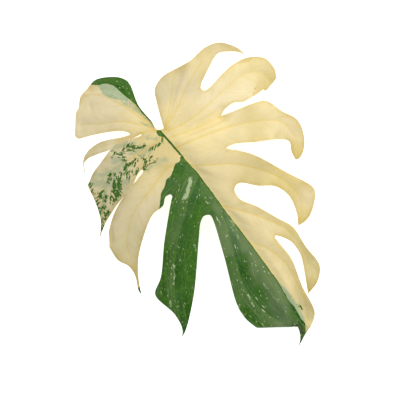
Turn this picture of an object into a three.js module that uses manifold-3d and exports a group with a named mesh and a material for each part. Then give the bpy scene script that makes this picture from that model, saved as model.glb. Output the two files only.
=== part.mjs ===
// A variegated monstera leaf, cut at the top of its stalk and laid on a flat surface.
// Millimetres, +Z up. +Y runs along the midrib from the stalk to the drip tip,
// +X points to the half of the blade that is mostly green.
// The blade is one thin curved sheet with the midrib's rib and the cut stalk grown onto its underside.

import * as THREE from "three";
import { mergeVertices } from "three/addons/utils/BufferGeometryUtils.js";
import Module from "manifold-3d";

const BLADE_THICKNESS = 0.9;
const MARGIN_SPACING = 5.5; // between points along the margin
const LATTICE_SPACING = 9; // between points across the blade
const VEIN_CLEARANCE = 5; // lattice points this near another point give way to it
const VEIN_POINT_CLEARANCE = 3; // the same for the points along the veins
const SMALLEST_AREA = 1; // twice the area of the smallest triangle that a new point may make
const HOLD_AREA = 4; // mm²: keeps a vein's hold on the blade finite right on its line
const HOLD_BLEND = 3; // how softly the distances to several veins blend into one
const PUFF_HEIGHT = 3.2; // how far the blade swells above its veins
const PUFF_WIDTH = 9;
const DROOP = 0.0042; // per mm: how the blade falls away again far from a vein
const RIB_RADIUS = [3.2, 0.9]; // the midrib's rib, at the stalk and at the tip
const RIB_SPAN = [5, 205]; // along the midrib
const STALK_LENGTH = 9; // the stalk that is left under the blade
const SETTLING = 1.5; // how softly a lobe's end bends onto the surface
const BLADE_HALF = BLADE_THICKNESS / 2;

// The margin, counter-clockwise seen from above. Each stretch is smooth and the corners are at its ends.
const MARGIN = [
  // the notch at the stalk
  [[-5, 1.5], [-2.5, 1], [1.5, -1.5]],
  // first green lobe, whose end is tucked under
  [[1.5, -1.5], [2, -4.5], [1, -10.5], [2, -31.5], [-3.5, -53], [-3.5, -58.5], [1.5, -67], [21, -78.5],
   [33.5, -76.5], [43.5, -74], [47.5, -70.5], [52.5, -65.5], [60, -63.5], [68, -62.5], [72, -58],
   [71.5, -50], [71.5, -44], [70, -40.5]],
  [[70, -40.5], [49.5, -32], [30, -20.5], [25.5, -13.5], [32, -15], [54.5, -25], [69.5, -25.5],
   [78.5, -21.5], [85, -12], [86, -8.5]],
  // second and third green lobes, with a narrow slit between them
  [[86, -8.5], [80.5, -17.6], [78, -19], [72.5, -19.1], [66.5, -17.6], [60.8, -16], [53.5, -13.5],
   [42, -11], [30, -9.1], [24, -8.3], [19, -7.6], [16.5, -6.8], [16.8, -5.9], [20, -6.3], [24, -7.5],
   [30, -8.75], [42, -10.65], [52.5, -12.5], [57, -11.1], [65.5, -8.5], [78.5, -5], [90.5, 2]],
  [[90.5, 2], [95, 23], [101.5, 39], [113, 53]],
  // third and fourth
  [[113, 53], [106.7, 48.1], [98.2, 43.2], [88.8, 39.1], [79, 35.4], [66, 32], [53, 28.3], [46, 24.6],
   [40.5, 22.4], [37.6, 22], [36.3, 23.2], [38, 24.9], [43.6, 26.4], [48.5, 27.9], [53, 28.7], [66, 32.4],
   [77, 36.4], [86.4, 41], [94.2, 46.2], [101, 52], [104.7, 57.6], [110, 65]],
  [[110, 65], [110.5, 81], [105.5, 92], [106, 103.5], [112, 117.5], [112, 122.5]],
  // fourth and fifth
  [[112, 122.5], [107, 111.5], [94.5, 93], [78, 78.5], [55, 64.5], [41.5, 63.5], [34.5, 58], [28.5, 59],
   [28.5, 61.5], [32, 64.5], [62, 93.5], [86, 120], [99.5, 128.5], [101.5, 133], [97, 158.5], [100, 176],
   [105, 181]],
  // fifth and sixth, whose end is tucked under
  [[105, 181], [98, 178], [70, 154], [32.5, 111.5], [20.5, 98.5], [15, 96], [10.5, 97.5], [9, 99.5],
   [21.5, 138], [40.5, 187], [42, 202.5], [38.5, 217.5]],
  [[38.5, 217.5], [42, 229], [38, 241], [28, 247], [16, 245], [10.5, 240.6], [7.8, 239]],
  [[7.8, 239], [4.7, 241.1]],
  // the drip tip
  [[4.7, 241.1], [5.8, 245.5], [10, 253], [16.5, 258.5]],
  [[16.5, 258.5], [0.5, 251], [-6.5, 248.5], [-17.5, 240], [-23, 211], [-30.5, 182], [-30, 165],
   [-30, 154], [-31.5, 154], [-40, 167], [-41, 176], [-40, 186], [-23.5, 221]],
  // the cream lobes, from the tip back to the stalk
  [[-23.5, 221], [-37.5, 217], [-49.5, 205], [-49.5, 181], [-50.5, 157.5], [-43, 140.5],
   [-32.6, 117.6], [-24.5, 104.5], [-25, 93], [-29.5, 90], [-34.5, 91], [-46.5, 103.4],
   [-60.5, 114.5], [-66, 130], [-62.5, 148], [-56, 160]],
  [[-56, 160], [-64.5, 160.5], [-74.5, 157], [-89.5, 143], [-90.5, 136.5], [-78, 110], [-62, 77],
   [-51.5, 63.5], [-43, 54.5], [-52, 56], [-69, 66], [-98.5, 85.5], [-94.5, 96], [-93, 105]],
  [[-93, 105], [-96.5, 106], [-101, 104.6], [-107, 100.5], [-115, 88.5], [-118, 73.5],
   [-110.5, 57.5], [-104, 40], [-97, 36], [-68.5, 28.5], [-58.5, 25.5]],
  // second cream lobe, whose end is tucked under
  [[-58.5, 25.5], [-65, 22.5], [-76.5, 22.5], [-83.5, 27], [-91.5, 28.5], [-101, 29], [-108.3, 28.8]],
  [[-108.3, 28.8], [-110, 34], [-113, 41], [-118, 44.5], [-122, 43], [-124.5, 37], [-125, 31],
   [-125.8, 27.4], [-127, 25.3], [-129.2, 21], [-130, 16], [-128, 4.5], [-116, -6], [-101, -9.3], [-87, -8.2],
   [-60, -4.5], [-58.5, -9], [-76, -20], [-92, -27], [-96, -26.5], [-109, -18], [-113, -13], [-113, -8.5]],
  // first cream lobe
  [[-113, -8.5], [-114.2, -12.5], [-112.6, -20], [-109, -26.4], [-100.5, -35.5], [-86.5, -39.5], [-66, -37.5],
   [-34.5, -41], [-21, -35.5], [-15, -24.5], [-5, 1.5]],
];

// Where each vein runs and how high the blade is carried there. A lobe's end lies on the surface
// wherever its vein would go below it.
const VEINS = {
  midrib: [[0, 0, 15], [-2, 22, 21], [-5, 50, 27], [-5, 79, 30], [-6, 103, 31], [-7, 149, 28],
    [-7, 193, 20], [-1, 226, 12], [0, 249, 6], [8, 254, 1], [16, 258.5, -5]],
  creamOne: [[-5, 3, 16], [-26, -6, 20], [-44, -16, 20], [-65, -26, 17], [-89, -33, 9], [-100, -30, 4],
    [-108, -22, -1], [-112, -13, -6]],
  creamOneOuter: [[-5, 3, 16], [-13, -4, 18], [-26, -16, 18], [-38, -29, 15], [-47, -36, 11]],
  creamTwo: [[-7, 6, 17], [-20, 9, 20], [-44, 10, 24], [-72, 7, 22], [-98, 5, 16], [-111, 9, 12],
    [-118, 17, 8], [-119, 27, 6.5]],
  creamTwoCrease: [[-6, 13, 18], [-24, 19, 21], [-58, 26, 21]],
  creamThree: [[-3, 25, 22], [-19, 28, 26], [-45, 35, 28], [-79, 48, 22], [-103, 65, 10], [-106, 77, 4],
    [-105, 91, -2], [-98, 102, -7]],
  creamFour: [[-4, 47, 27], [-21, 59, 32], [-38, 70, 32], [-59, 93, 25], [-70, 113, 15], [-74, 135, 4],
    [-70, 147, -2], [-61, 157, -7]],
  creamFive: [[-4, 95, 31], [-18, 113, 33], [-33, 134, 28], [-44, 156, 19], [-45, 179, 9],
    [-43, 193, 3], [-39, 206, -2], [-27, 219, -7]],
  creamSix: [[-6, 144, 28], [-16, 157, 27], [-23, 182, 18], [-22, 194, 14], [-16, 225, 6], [-8, 240, 2]],
  greenOneRim: [[3, -5, 15], [5, -29, 15], [4, -46, 12], [6, -60, 8], [17, -71, 4], [31, -74, 2]],
  greenOneUpper: [[3, -5, 15], [8, -21, 17], [13, -37, 18], [27, -63, 11], [39, -71, 6], [48, -69, 6]],
  greenOneLower: [[3, -4, 15], [15, -19, 18], [28, -31, 18], [44, -40, 14], [60, -51, 6.5]],
  greenTwo: [[3, -2, 16], [11, -6, 19], [24, -10, 21], [38, -14, 20], [53, -19, 16], [64, -22, 10],
    [74, -21, 4], [85, -11, -5]],
  greenThree: [[3, 7, 17], [20, 9, 21], [40, 6, 20], [62, 6, 14], [75, 12, 9], [88, 25, 3],
    [100, 38, -3], [112, 52, -8]],
  greenFour: [[-1, 41, 25], [17, 36, 26], [33, 41, 26], [48, 45, 23], [65, 50, 18], [78, 57, 12],
    [95, 75, 3], [102, 97, -3], [111, 118, -7]],
  greenFive: [[-5, 61, 28], [9, 69, 31], [21, 77, 31], [49, 100, 24], [75, 128, 12], [85, 144, 5],
    [93, 162, -2], [102, 179, -7]],
  greenSix: [[-2, 103, 31], [4, 122, 32], [15, 150, 27], [23, 177, 19], [23, 206, 10], [17, 224, 6.5]],
};

// Lobe ends that are tucked under: the blade turns down and back round each line, on the line's left.
const TUCK_RADIUS = 3;
const TUCK_REACH = 24; // how far past the line the tucked blade can reach
const TUCKS = [
  { from: [-131.5, 23.4], to: [-105.2, 29.5] },
  { from: [5.9, 236.6], to: [36.9, 215.1] },
  { from: [72, -40], to: [46.3, -72] },
];

const MIDRIB_SINK = 2.2; // the midrib's valley is deeper than the other veins'
const MIDRIB_VALLEY = 7;

// Points along a smooth curve through the given ones.
function smoothPath(points, spacing) {
  const curve = new THREE.CatmullRomCurve3(
    points.map(([x, y, z = 0]) => new THREE.Vector3(x, y, z)), false, "centripetal");
  curve.arcLengthDivisions = 40 * points.length;
  const steps = Math.max(2, Math.round(curve.getLength() / spacing));
  return curve.getSpacedPoints(steps);
}

const veinPaths = Object.fromEntries(
  Object.entries(VEINS).map(([name, points]) => [name, smoothPath(points, 6)]));

// The distance from (x, y) to a path in plan, and the path's height at the nearest place.
function nearest(path, x, y) {
  let best = { distance: Infinity, height: 0 };
  for (let i = 0; i + 1 < path.length; i++) {
    const a = path[i];
    const b = path[i + 1];
    const along = (x - a.x) * (b.x - a.x) + (y - a.y) * (b.y - a.y);
    const share = THREE.MathUtils.clamp(along / ((b.x - a.x) ** 2 + (b.y - a.y) ** 2), 0, 1);
    const px = THREE.MathUtils.lerp(a.x, b.x, share);
    const py = THREE.MathUtils.lerp(a.y, b.y, share);
    const distance = Math.hypot(x - px, y - py);
    if (distance < best.distance) best = { distance, height: THREE.MathUtils.lerp(a.z, b.z, share) };
  }
  return best;
}

// The height of the blade's middle surface: carried by the veins, puffed up between them.
function height(x, y) {
  let weights = 0;
  let carried = 0;
  let closeness = 0;
  for (const path of Object.values(veinPaths)) {
    const near = nearest(path, x, y);
    const weight = (near.distance ** 2 + HOLD_AREA) ** -2;
    weights += weight;
    carried += weight * near.height;
    closeness += Math.exp(-near.distance / HOLD_BLEND);
  }
  const clear = Math.max(-HOLD_BLEND * Math.log(closeness + Number.EPSILON), 0);
  const puff = PUFF_HEIGHT * (1 - Math.exp(-((clear / PUFF_WIDTH) ** 1.3))) - DROOP * clear ** 2;
  const fromMidrib = nearest(veinPaths.midrib, x, y).distance;
  const valley = MIDRIB_SINK * Math.exp(-((fromMidrib / MIDRIB_VALLEY) ** 2));
  const above = carried / weights + puff - valley - BLADE_HALF;
  if (above > SETTLING) return BLADE_HALF + above;
  return BLADE_HALF + Math.max(above + SETTLING, 0) ** 2 / (4 * SETTLING);
}

// Where a place of the flat blade goes when the leaf lies on the surface.
function laid(x, y) {
  for (const { from, to } of TUCKS) {
    const length = Math.hypot(to[0] - from[0], to[1] - from[1]);
    const line = [(to[0] - from[0]) / length, (to[1] - from[1]) / length];
    const out = [-line[1], line[0]];
    const along = (x - from[0]) * line[0] + (y - from[1]) * line[1];
    const beyond = (x - from[0]) * out[0] + (y - from[1]) * out[1];
    if (beyond <= 0 || beyond > TUCK_REACH || along < 0 || along > length) continue;
    const turn = Math.min(beyond / TUCK_RADIUS, Math.PI);
    const reach = TUCK_RADIUS * Math.sin(turn) - Math.max(0, beyond - Math.PI * TUCK_RADIUS);
    const foot = [x - beyond * out[0], y - beyond * out[1]];
    const top = height(...foot);
    const z = top - ((top - BLADE_HALF) * (1 - Math.cos(turn))) / 2;
    return new THREE.Vector3(foot[0] + reach * out[0], foot[1] + reach * out[1], z);
  }
  return new THREE.Vector3(x, y, height(x, y));
}

// A triangulation of the flat outline that new points can be added to. The triangle on the left of
// each directed edge is kept as that edge's third corner, and edges are turned wherever that makes
// rounder triangles.
class Triangulation {
  constructor(outline) {
    this.points = outline.map((p) => new THREE.Vector2(p.x, p.y));
    this.third = new Map();
    for (const triangle of THREE.ShapeUtils.triangulateShape(this.points, [])) this.add(...triangle);
    for (const edge of [...this.third.keys()]) this.improve(...edge.split(" ").map(Number));
  }

  add(a, b, c) {
    this.third.set(`${a} ${b}`, c).set(`${b} ${c}`, a).set(`${c} ${a}`, b);
  }

  remove(a, b, c) {
    for (const edge of [`${a} ${b}`, `${b} ${c}`, `${c} ${a}`]) this.third.delete(edge);
  }

  // Twice the area of a triangle, positive when its corners run counter-clockwise.
  area(a, b, c) {
    const [p, q, r] = [this.points[a], this.points[b], this.points[c]];
    return (q.x - p.x) * (r.y - p.y) - (q.y - p.y) * (r.x - p.x);
  }

  // The cosine of the angle at corner c, seen across the edge from a to b.
  cosineAt(c, a, b) {
    const toA = this.points[a].clone().sub(this.points[c]);
    const toB = this.points[b].clone().sub(this.points[c]);
    return toA.dot(toB) / (toA.length() * toB.length());
  }

  // Turns the edge between two triangles when the angles facing it add up to more than a half turn.
  improve(a, b) {
    const c = this.third.get(`${a} ${b}`);
    const d = this.third.get(`${b} ${a}`);
    if (c === undefined || d === undefined) return;
    const facing = Math.acos(this.cosineAt(c, a, b)) + Math.acos(this.cosineAt(d, a, b));
    if (facing < Math.PI + 1e-6 || this.area(a, d, c) <= 1e-6 || this.area(d, b, c) <= 1e-6) return;
    this.remove(a, b, c);
    this.remove(b, a, d);
    this.add(a, d, c);
    this.add(d, b, c);
    for (const [p, q] of [[a, d], [d, b], [b, c], [c, a]]) this.improve(p, q);
  }

  // Adds a point inside the outline, unless it falls within clearance of a corner or on an edge.
  insert(x, y, clearance) {
    const at = new THREE.Vector2(x, y);
    if (this.points.some((p) => p.distanceTo(at) < clearance)) return;
    const n = this.points.push(at) - 1;
    for (const [edge, c] of this.third) {
      const [a, b] = edge.split(" ").map(Number);
      if ([[a, b], [b, c], [c, a]].some(([p, q]) => this.area(p, q, n) < SMALLEST_AREA)) continue;
      this.remove(a, b, c);
      this.add(a, b, n);
      this.add(b, c, n);
      this.add(c, a, n);
      for (const [p, q] of [[a, b], [b, c], [c, a]]) this.improve(p, q);
      return;
    }
    this.points.pop();
  }

  triangles() {
    const corners = [...this.third].map(([edge, c]) => [...edge.split(" ").map(Number), c]);
    return corners.filter(([a, b, c]) => a < b && a < c);
  }
}

// The blade: the outline filled with triangles, laid in space and given its thickness.
function bladeGeometry() {
  const outline = MARGIN.flatMap((stretch) => smoothPath(stretch, MARGIN_SPACING).slice(0, -1));
  const net = new Triangulation(outline);
  for (const path of Object.values(veinPaths))
    for (const point of path.filter((_, i) => i % 2)) net.insert(point.x, point.y, VEIN_POINT_CLEARANCE);
  const rowHeight = LATTICE_SPACING * Math.sqrt(0.75);
  const { min, max } = new THREE.Box2().setFromPoints(outline);
  const firstColumn = Math.floor(min.x / LATTICE_SPACING);
  for (let row = Math.floor(min.y / rowHeight); row * rowHeight < max.y; row++)
    for (let column = firstColumn; column * LATTICE_SPACING < max.x; column++)
      net.insert((column + (row % 2) / 2) * LATTICE_SPACING, row * rowHeight, VEIN_CLEARANCE);

  const triangles = net.triangles();
  const middle = net.points.map((p) => laid(p.x, p.y));
  const normals = middle.map(() => new THREE.Vector3());
  for (const [a, b, c] of triangles) {
    const sideB = middle[b].clone().sub(middle[a]);
    const normal = sideB.cross(middle[c].clone().sub(middle[a]));
    for (const corner of [a, b, c]) normals[corner].add(normal);
  }
  const positions = [];
  for (const side of [1, -1])
    middle.forEach((point, i) => {
      const moved = point.clone().addScaledVector(normals[i].normalize(), side * BLADE_HALF);
      positions.push(moved.x, moved.y, Math.max(moved.z, 0));
    });

  const under = middle.length;
  const faces = triangles.flatMap(([a, b, c]) => [a, b, c, c + under, b + under, a + under]);
  for (let i = 0; i < outline.length; i++) {
    const next = (i + 1) % outline.length;
    faces.push(i, i + under, next, next, i + under, next + under);
  }
  const geometry = new THREE.BufferGeometry();
  geometry.setAttribute("position", new THREE.Float32BufferAttribute(positions, 3));
  geometry.setIndex(faces);
  return geometry;
}

// The rib under the midrib: a rod that tapers towards the tip, its top just inside the blade, with the
// cut end of the stalk turned down at its near end.
function ribGeometry() {
  const path = veinPaths.midrib.filter((p) => p.y > RIB_SPAN[0] && p.y < RIB_SPAN[1]);
  const rings = path.map((point, i) => {
    const radius = THREE.MathUtils.lerp(...RIB_RADIUS, i / (path.length - 1));
    const surface = height(point.x, point.y);
    return { centre: new THREE.Vector3(point.x, point.y, surface - radius), radius };
  });
  const top = rings[0].centre;
  const stalk = [1, 0.6, 0.25].map((share) => ({
    centre: new THREE.Vector3(top.x, top.y - share, top.z - share * STALK_LENGTH),
    radius: RIB_RADIUS[0],
  }));
  return rodGeometry([...stalk, ...rings]);
}

// A closed rod with round sections, each square to the path through their centres.
function rodGeometry(rings) {
  const sides = 10;
  const positions = [];
  rings.forEach(({ centre, radius }, i) => {
    const before = rings[Math.max(i - 1, 0)].centre;
    const after = rings[Math.min(i + 1, rings.length - 1)].centre;
    const forward = after.clone().sub(before).normalize();
    const right = new THREE.Vector3(1, 0, 0).projectOnPlane(forward).normalize();
    const up = right.clone().cross(forward);
    for (let k = 0; k < sides; k++) {
      const turn = (2 * Math.PI * k) / sides;
      const rim = centre.clone().addScaledVector(right, radius * Math.cos(turn));
      positions.push(...rim.addScaledVector(up, radius * Math.sin(turn)));
    }
  });
  const faces = [];
  for (let i = 0; i + 1 < rings.length; i++)
    for (let k = 0; k < sides; k++) {
      const [a, b] = [i * sides + k, i * sides + ((k + 1) % sides)];
      faces.push(a, a + sides, b, b, a + sides, b + sides);
    }
  const last = (rings.length - 1) * sides;
  for (let k = 1; k + 1 < sides; k++) faces.push(0, k, k + 1, last, last + k + 1, last + k);
  const geometry = new THREE.BufferGeometry();
  geometry.setAttribute("position", new THREE.Float32BufferAttribute(positions, 3));
  geometry.setIndex(faces);
  return geometry;
}

const wasm = await Module();
wasm.setup();

function solidOf(geometry) {
  const merged = mergeVertices(geometry, 1e-3);
  return new wasm.Manifold(new wasm.Mesh({
    numProp: 3,
    vertProperties: merged.attributes.position.array,
    triVerts: new Uint32Array(merged.index.array),
  }));
}

const joined = solidOf(bladeGeometry()).add(solidOf(ribGeometry())).getMesh();
const leafGeometry = new THREE.BufferGeometry();
leafGeometry.setAttribute("position", new THREE.BufferAttribute(joined.vertProperties, 3));
leafGeometry.setIndex(new THREE.BufferAttribute(joined.triVerts, 1));

// The origin is under the middle of the leaf, on the surface it lies on.
leafGeometry.computeBoundingBox();
const middle = leafGeometry.boundingBox.getCenter(new THREE.Vector3());
leafGeometry.translate(-middle.x, -middle.y, -leafGeometry.boundingBox.min.z);
leafGeometry.computeVertexNormals();

const leaf = new THREE.Mesh(
  leafGeometry,
  new THREE.MeshStandardMaterial({ color: "#d9c892", roughness: 0.5, metalness: 0 }),
);
leaf.name = "leaf";

const group = new THREE.Group();
group.add(leaf);
export default group;
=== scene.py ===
# %% [markdown]
# # A variegated monstera leaf
#
# A monstera leaf is one thin, waxy sheet, split almost to the midrib. This one is half green and
# half cream, because its stem carries two kinds of tissue side by side. It was cut at the stalk
# and laid down, so the ends of its lobes rest on the surface and the middle arches over it.
#
# The lesson makes the leaf in layers: its outline and veins in the flat, the height that the veins
# carry, a fine mesh laid over that form, measures of colour stored on the mesh, the ribs
# underneath, and last the finishes and the light. The solid model is loaded first. It fixes the
# size and the place of everything here.

# %% Load the fixed model
import math

import bpy
import numpy as np
from mathutils import Matrix, Vector
from mathutils.geometry import delaunay_2d_cdt


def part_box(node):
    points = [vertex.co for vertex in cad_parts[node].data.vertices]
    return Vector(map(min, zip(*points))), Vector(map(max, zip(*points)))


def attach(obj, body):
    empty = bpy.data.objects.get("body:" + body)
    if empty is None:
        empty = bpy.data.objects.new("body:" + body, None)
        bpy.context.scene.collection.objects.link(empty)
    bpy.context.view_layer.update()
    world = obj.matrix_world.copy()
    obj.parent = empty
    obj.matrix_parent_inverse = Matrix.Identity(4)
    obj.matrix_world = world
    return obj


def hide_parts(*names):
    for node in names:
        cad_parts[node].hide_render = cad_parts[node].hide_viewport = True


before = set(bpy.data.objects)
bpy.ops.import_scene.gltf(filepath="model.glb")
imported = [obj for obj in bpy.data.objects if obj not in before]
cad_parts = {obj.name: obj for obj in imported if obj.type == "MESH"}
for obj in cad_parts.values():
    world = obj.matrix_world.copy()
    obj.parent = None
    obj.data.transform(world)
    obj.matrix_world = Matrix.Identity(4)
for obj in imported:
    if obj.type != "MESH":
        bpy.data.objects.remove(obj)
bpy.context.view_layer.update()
leaf_low, leaf_high = (np.array(corner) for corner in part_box("leaf"))
MM = 0.001
print("solid leaf, mm:", ((leaf_high - leaf_low) / MM).round(1))

# %% [markdown]
# ## The outline
#
# The leaf is drawn flat, in millimetres, with the stalk at the origin, the midrib running up the
# +Y side and the green half on +X. The margin is a ring of smooth stretches that meet at the
# corners: lobe tips, and the points where a tucked end begins. A Catmull-Rom curve passes through
# every point it is given, so a stretch needs only the few points that a hand would mark.

# %% The margin, counter-clockwise
MARGIN = [
    # the notch at the stalk
    [(-5, 1.5), (-2.5, 1), (1.5, -1.5)],
    # first green lobe, its end tucked under
    [(1.5, -1.5), (2, -4.5), (1, -10.5), (2, -31.5), (-3.5, -53), (-3.5, -58.5), (1.5, -67), (21, -78.5),
     (33.5, -76.5), (43.5, -74), (47.5, -70.5), (52.5, -65.5), (60, -63.5), (68, -62.5), (72, -58),
     (71.5, -50), (71.5, -44), (70, -40.5)],
    [(70, -40.5), (49.5, -32), (30, -20.5), (25.5, -13.5), (32, -15), (54.5, -25), (69.5, -25.5),
     (78.5, -21.5), (85, -12), (86, -8.5)],
    # second and third green lobes, with a narrow slit between them
    [(86, -8.5), (80.5, -17.6), (78, -19), (72.5, -19.1), (66.5, -17.6), (60.8, -16), (53.5, -13.5),
     (42, -10.9), (30, -8.95), (25, -8.1), (19, -7.6), (16.5, -6.8), (16.8, -5.9), (20, -6.3),
     (25, -7.95), (30, -8.85), (42, -10.8), (51.5, -12.6), (57, -11.1), (65.5, -8.5), (78.5, -5), (90.5, 2)],
    [(90.5, 2), (95, 23), (101.5, 39), (113, 53)],
    # third and fourth
    [(113, 53), (106.7, 48.1), (98.2, 43.2), (88.8, 39.1), (79, 35.4), (66, 32.15), (53, 28.45), (46, 24.6),
     (40.5, 22.4), (37.6, 22), (36.3, 23.2), (38, 24.9), (43.6, 26.4), (48.5, 27.9), (53, 28.58), (66, 32.28),
     (77, 36.4), (86.4, 41), (94.2, 46.2), (101, 52), (104.7, 57.6), (110, 65)],
    [(110, 65), (110.5, 81), (105.5, 92), (106, 103.5), (112, 117.5), (112, 122.5)],
    # fourth and fifth
    [(112, 122.5), (107, 111.5), (94.5, 93), (78, 78.5), (55, 64.5), (41.5, 63.5), (34.5, 58), (28.5, 59),
     (28.5, 61.5), (32, 64.5), (62, 93.5), (86, 120), (99.5, 128.5), (101.5, 133), (97, 158.5), (100, 176),
     (105, 181)],
    # fifth and sixth, whose end is tucked under
    [(105, 181), (98, 178), (70, 154), (32.5, 111.5), (20.5, 98.5), (15, 96), (10.5, 97.5), (9, 99.5),
     (21.5, 138), (40.5, 187), (42, 202.5), (38.5, 217.5)],
    [(38.5, 217.5), (42, 229), (38, 241), (28, 247), (16, 245), (10.5, 240.6), (7.8, 239)],
    [(7.8, 239), (4.7, 241.1)],
    # the drip tip
    [(4.7, 241.1), (5.8, 245.5), (10, 253), (16.5, 258.5)],
    [(16.5, 258.5), (0.5, 251), (-6.5, 248.5), (-17.5, 240), (-23, 211), (-30.5, 182), (-30, 165),
     (-30, 154), (-31.5, 154), (-40, 167), (-41, 176), (-40, 186), (-23.5, 221)],
    # the cream lobes, from the tip back to the stalk
    [(-23.5, 221), (-37.5, 217), (-49.5, 205), (-49.5, 181), (-50.5, 157.5), (-43, 140.5),
     (-32.6, 117.6), (-24.5, 104.5), (-25, 93), (-29.5, 90), (-34.5, 91), (-46.5, 103.4), (-60.5, 114.5),
     (-66, 130), (-62.5, 148), (-56, 160)],
    [(-56, 160), (-64.5, 160.5), (-74.5, 157), (-89.5, 143), (-90.5, 136.5), (-78, 110), (-62, 77),
     (-51.5, 63.5), (-43, 54.5), (-52, 56), (-69, 66), (-98.5, 85.5), (-94.5, 96), (-93, 105)],
    [(-93, 105), (-96.5, 106), (-101, 104.6), (-107, 100.5), (-115, 88.5), (-118, 73.5),
     (-110.5, 57.5), (-104, 40), (-97, 36), (-68.5, 28.5), (-58.5, 25.5)],
    # second cream lobe, its end tucked under
    [(-58.5, 25.5), (-65, 22.5), (-76.5, 22.5), (-83.5, 27), (-91.5, 28.5), (-101, 29), (-108.3, 28.8)],
    [(-108.3, 28.8), (-110, 34), (-113, 41), (-118, 44.5), (-122, 43), (-124.5, 37), (-125, 31),
     (-125.8, 27.4), (-127, 25.3), (-129.2, 21), (-130, 16), (-128, 4.5), (-116, -6), (-101, -9.3),
     (-87, -8.2), (-60, -4.5), (-58.5, -9), (-76, -20), (-92, -27), (-96, -26.5), (-109, -18), (-113, -13),
     (-113, -8.5)],
    # first cream lobe
    [(-113, -8.5), (-114.2, -12.5), (-112.6, -20), (-109, -26.4), (-100.5, -35.5), (-86.5, -39.5),
     (-66, -37.5), (-34.5, -41), (-21, -35.5), (-15, -24.5), (-5, 1.5)],
]

# %% Smooth paths
CURVE_STEPS = 40  # between two given points, before the even spacing


def smooth_path(points, spacing):
    """Evenly spaced points on a centripetal Catmull-Rom curve through the given ones."""
    points = np.array([(*point, 0)[:3] for point in points], float)
    ends = np.vstack([2 * points[0] - points[1], points, 2 * points[-1] - points[-2]])
    dense = [points[:1]]
    for before, start, stop, after in zip(ends, ends[1:], ends[2:], ends[3:]):
        first = np.linalg.norm(start - before) ** 0.5
        middle = np.linalg.norm(stop - start) ** 0.5
        last = np.linalg.norm(after - stop) ** 0.5
        leaving = (start - before) / first - (stop - before) / (first + middle) + (stop - start) / middle
        arriving = (stop - start) / middle - (after - start) / (middle + last) + (after - stop) / last
        leaving, arriving = leaving * middle, arriving * middle
        t = np.linspace(0, 1, CURVE_STEPS + 1)[1:, None]
        bend = 2 * start - 2 * stop + leaving + arriving
        sweep = 3 * stop - 3 * start - 2 * leaving - arriving
        dense.append(start + leaving * t + sweep * t**2 + bend * t**3)
    dense = np.vstack(dense)
    run = np.concatenate([[0], np.cumsum(np.linalg.norm(np.diff(dense, axis=0), axis=1))])
    steps = max(2, round(run[-1] / spacing))
    return np.column_stack([np.interp(np.linspace(0, run[-1], steps + 1), run, axis) for axis in dense.T])


FINE = 1.6  # spacing of the fine mesh, mm
margin_path = np.vstack([smooth_path(stretch, FINE)[:-1] for stretch in MARGIN])
print("margin points:", len(margin_path))

# %% [markdown]
# ## The veins
#
# The veins carry the blade, so each is given as places with a height: the third number is how high
# the blade stands there when the leaf lies down. Where a vein would dip below the surface, its
# lobe lies flat on it.

# %% Veins as paths in space
VEINS = {
    "midrib": [(0, 0, 15), (-2, 22, 21), (-5, 50, 27), (-5, 79, 30), (-6, 103, 31), (-7, 149, 28),
               (-7, 193, 20), (-1, 226, 12), (0, 249, 6), (8, 254, 1), (16, 258.5, -5)],
    "cream one": [(-5, 3, 16), (-26, -6, 20), (-44, -16, 20), (-65, -26, 17), (-89, -33, 9),
                  (-100, -30, 4), (-108, -22, -1), (-112, -13, -6)],
    "cream one outer": [(-5, 3, 16), (-13, -4, 18), (-26, -16, 18), (-38, -29, 15), (-47, -36, 11)],
    "cream two": [(-7, 6, 17), (-20, 9, 20), (-44, 10, 24), (-72, 7, 22), (-98, 5, 16), (-111, 9, 12),
                  (-118, 17, 8), (-119, 27, 6.5)],
    "cream two crease": [(-6, 13, 18), (-24, 19, 21), (-58, 26, 21)],
    "cream three": [(-3, 25, 22), (-19, 28, 26), (-45, 35, 28), (-79, 48, 22), (-103, 65, 10),
                    (-106, 77, 4), (-105, 91, -2), (-98, 102, -7)],
    "cream four": [(-4, 47, 27), (-21, 59, 32), (-38, 70, 32), (-59, 93, 25), (-70, 113, 15),
                   (-74, 135, 4), (-70, 147, -2), (-61, 157, -7)],
    "cream five": [(-4, 95, 31), (-18, 113, 33), (-33, 134, 28), (-44, 156, 19), (-45, 179, 9),
                   (-43, 193, 3), (-39, 206, -2), (-27, 219, -7)],
    "cream six": [(-6, 144, 28), (-16, 157, 27), (-23, 182, 18), (-22, 194, 14), (-16, 225, 6), (-8, 240, 2)],
    "green one rim": [(3, -5, 15), (5, -29, 15), (4, -46, 12), (6, -60, 8), (17, -71, 4), (31, -74, 2)],
    "green one upper": [(3, -5, 15), (8, -21, 17), (13, -37, 18), (27, -63, 11), (39, -71, 6), (48, -69, 6)],
    "green one lower": [(3, -4, 15), (15, -19, 18), (28, -31, 18), (44, -40, 14), (60, -51, 6.5)],
    "green two": [(3, -2, 16), (11, -6, 19), (24, -10, 21), (38, -14, 20), (53, -19, 16), (64, -22, 10),
                  (74, -21, 4), (85, -11, -5)],
    "green three": [(3, 7, 17), (20, 9, 21), (40, 6, 20), (62, 6, 14), (75, 12, 9), (88, 25, 3),
                    (100, 38, -3), (112, 52, -8)],
    "green four": [(-1, 41, 25), (17, 36, 26), (33, 41, 26), (48, 45, 23), (65, 50, 18), (78, 57, 12),
                   (95, 75, 3), (102, 97, -3), (111, 118, -7)],
    "green five": [(-5, 61, 28), (9, 69, 31), (21, 77, 31), (49, 100, 24), (75, 128, 12), (85, 144, 5),
                   (93, 162, -2), (102, 179, -7)],
    "green six": [(-2, 103, 31), (4, 122, 32), (15, 150, 27), (23, 177, 19), (23, 206, 10), (17, 224, 6.5)],
}
VEIN_SPACING = 4
vein_paths = {name: smooth_path(points, VEIN_SPACING) for name, points in VEINS.items()}
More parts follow.
